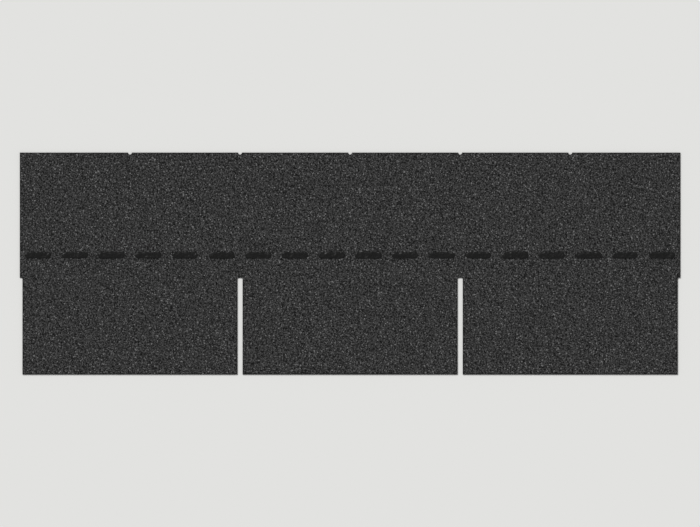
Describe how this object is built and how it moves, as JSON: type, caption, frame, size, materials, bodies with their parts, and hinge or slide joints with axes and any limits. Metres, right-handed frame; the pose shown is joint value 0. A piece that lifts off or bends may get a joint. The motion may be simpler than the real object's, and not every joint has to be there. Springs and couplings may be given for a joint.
{
  "type": "three-tab asphalt strip shingle",
  "caption": "Flat granule-surfaced asphalt roofing strip: square tabs parted by narrow die-cut slots along one edge, a plain headlap, and a line of adhesive beads above the slots.",
  "frame": {"origin": "centre of the sheet's back, midway along the strip and midway between butt edge and top edge", "axes": "+X along the strip, -Y towards the butt edge of the tabs, +Y towards the top edge, +Z out of the granules"},
  "size_m": [1, 0.336, 0.0038],
  "materials": {
    "mineral_surface": "matte",
    "seal_adhesive": "satin",
    "asphalt_coating": "matte"
  },
  "bodies": {
    "root": {"shingle_strip": "mineral_surface", "seal_dabs": "seal_adhesive"}
  },
  "joints": []
}
